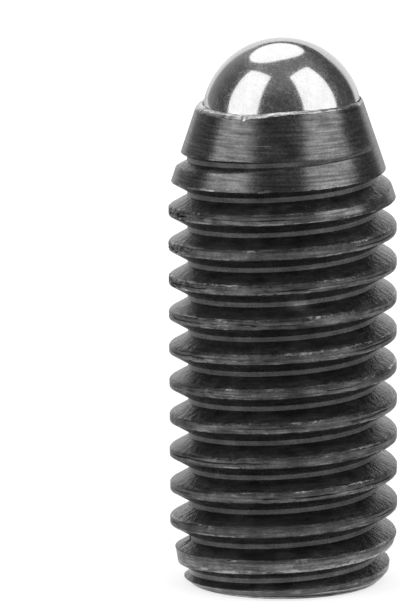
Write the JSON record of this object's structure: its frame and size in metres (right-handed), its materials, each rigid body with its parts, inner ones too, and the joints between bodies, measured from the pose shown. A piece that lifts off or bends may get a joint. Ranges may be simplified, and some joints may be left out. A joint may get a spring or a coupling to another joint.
{
  "type": "spring plunger",
  "caption": "Spring plunger with a threaded steel body, a hex socket in its flat end and a sprung steel ball held by a rolled lip at its tapered nose.",
  "frame": {"origin": "centre of the body's flat lower end, in the plane of that end", "axes": "+Z along the thread's axis towards the ball; two flats of the hex socket face +Y and -Y"},
  "size_m": [0.0114, 0.0114, 0.0276],
  "materials": {
    "blackened_steel": "black oxide over turned steel, satin, with bright worn edges",
    "polished_steel": "hardened and polished",
    "spring_steel": "drawn wire, bright"
  },
  "bodies": {
    "housing": {"threaded_body": "blackened_steel"},
    "spring": {"coil_spring": "spring_steel"},
    "ball": {"nose_ball": "polished_steel"}
  },
  "joints": [
    {"name": "ball_press", "type": "slide", "parent": "housing", "child": "spring", "axis": [0, 0, -1], "range_m": [0, 0.0024], "stiffness_N_per_m": 12000, "deforming": ["coil_spring"]},
    {"name": "ball_roll", "type": "hinge", "parent": "spring", "child": "ball", "pos_m": [0, 0, 0.02355], "axis": [1, 0, 0], "continuous": true}
  ]
}
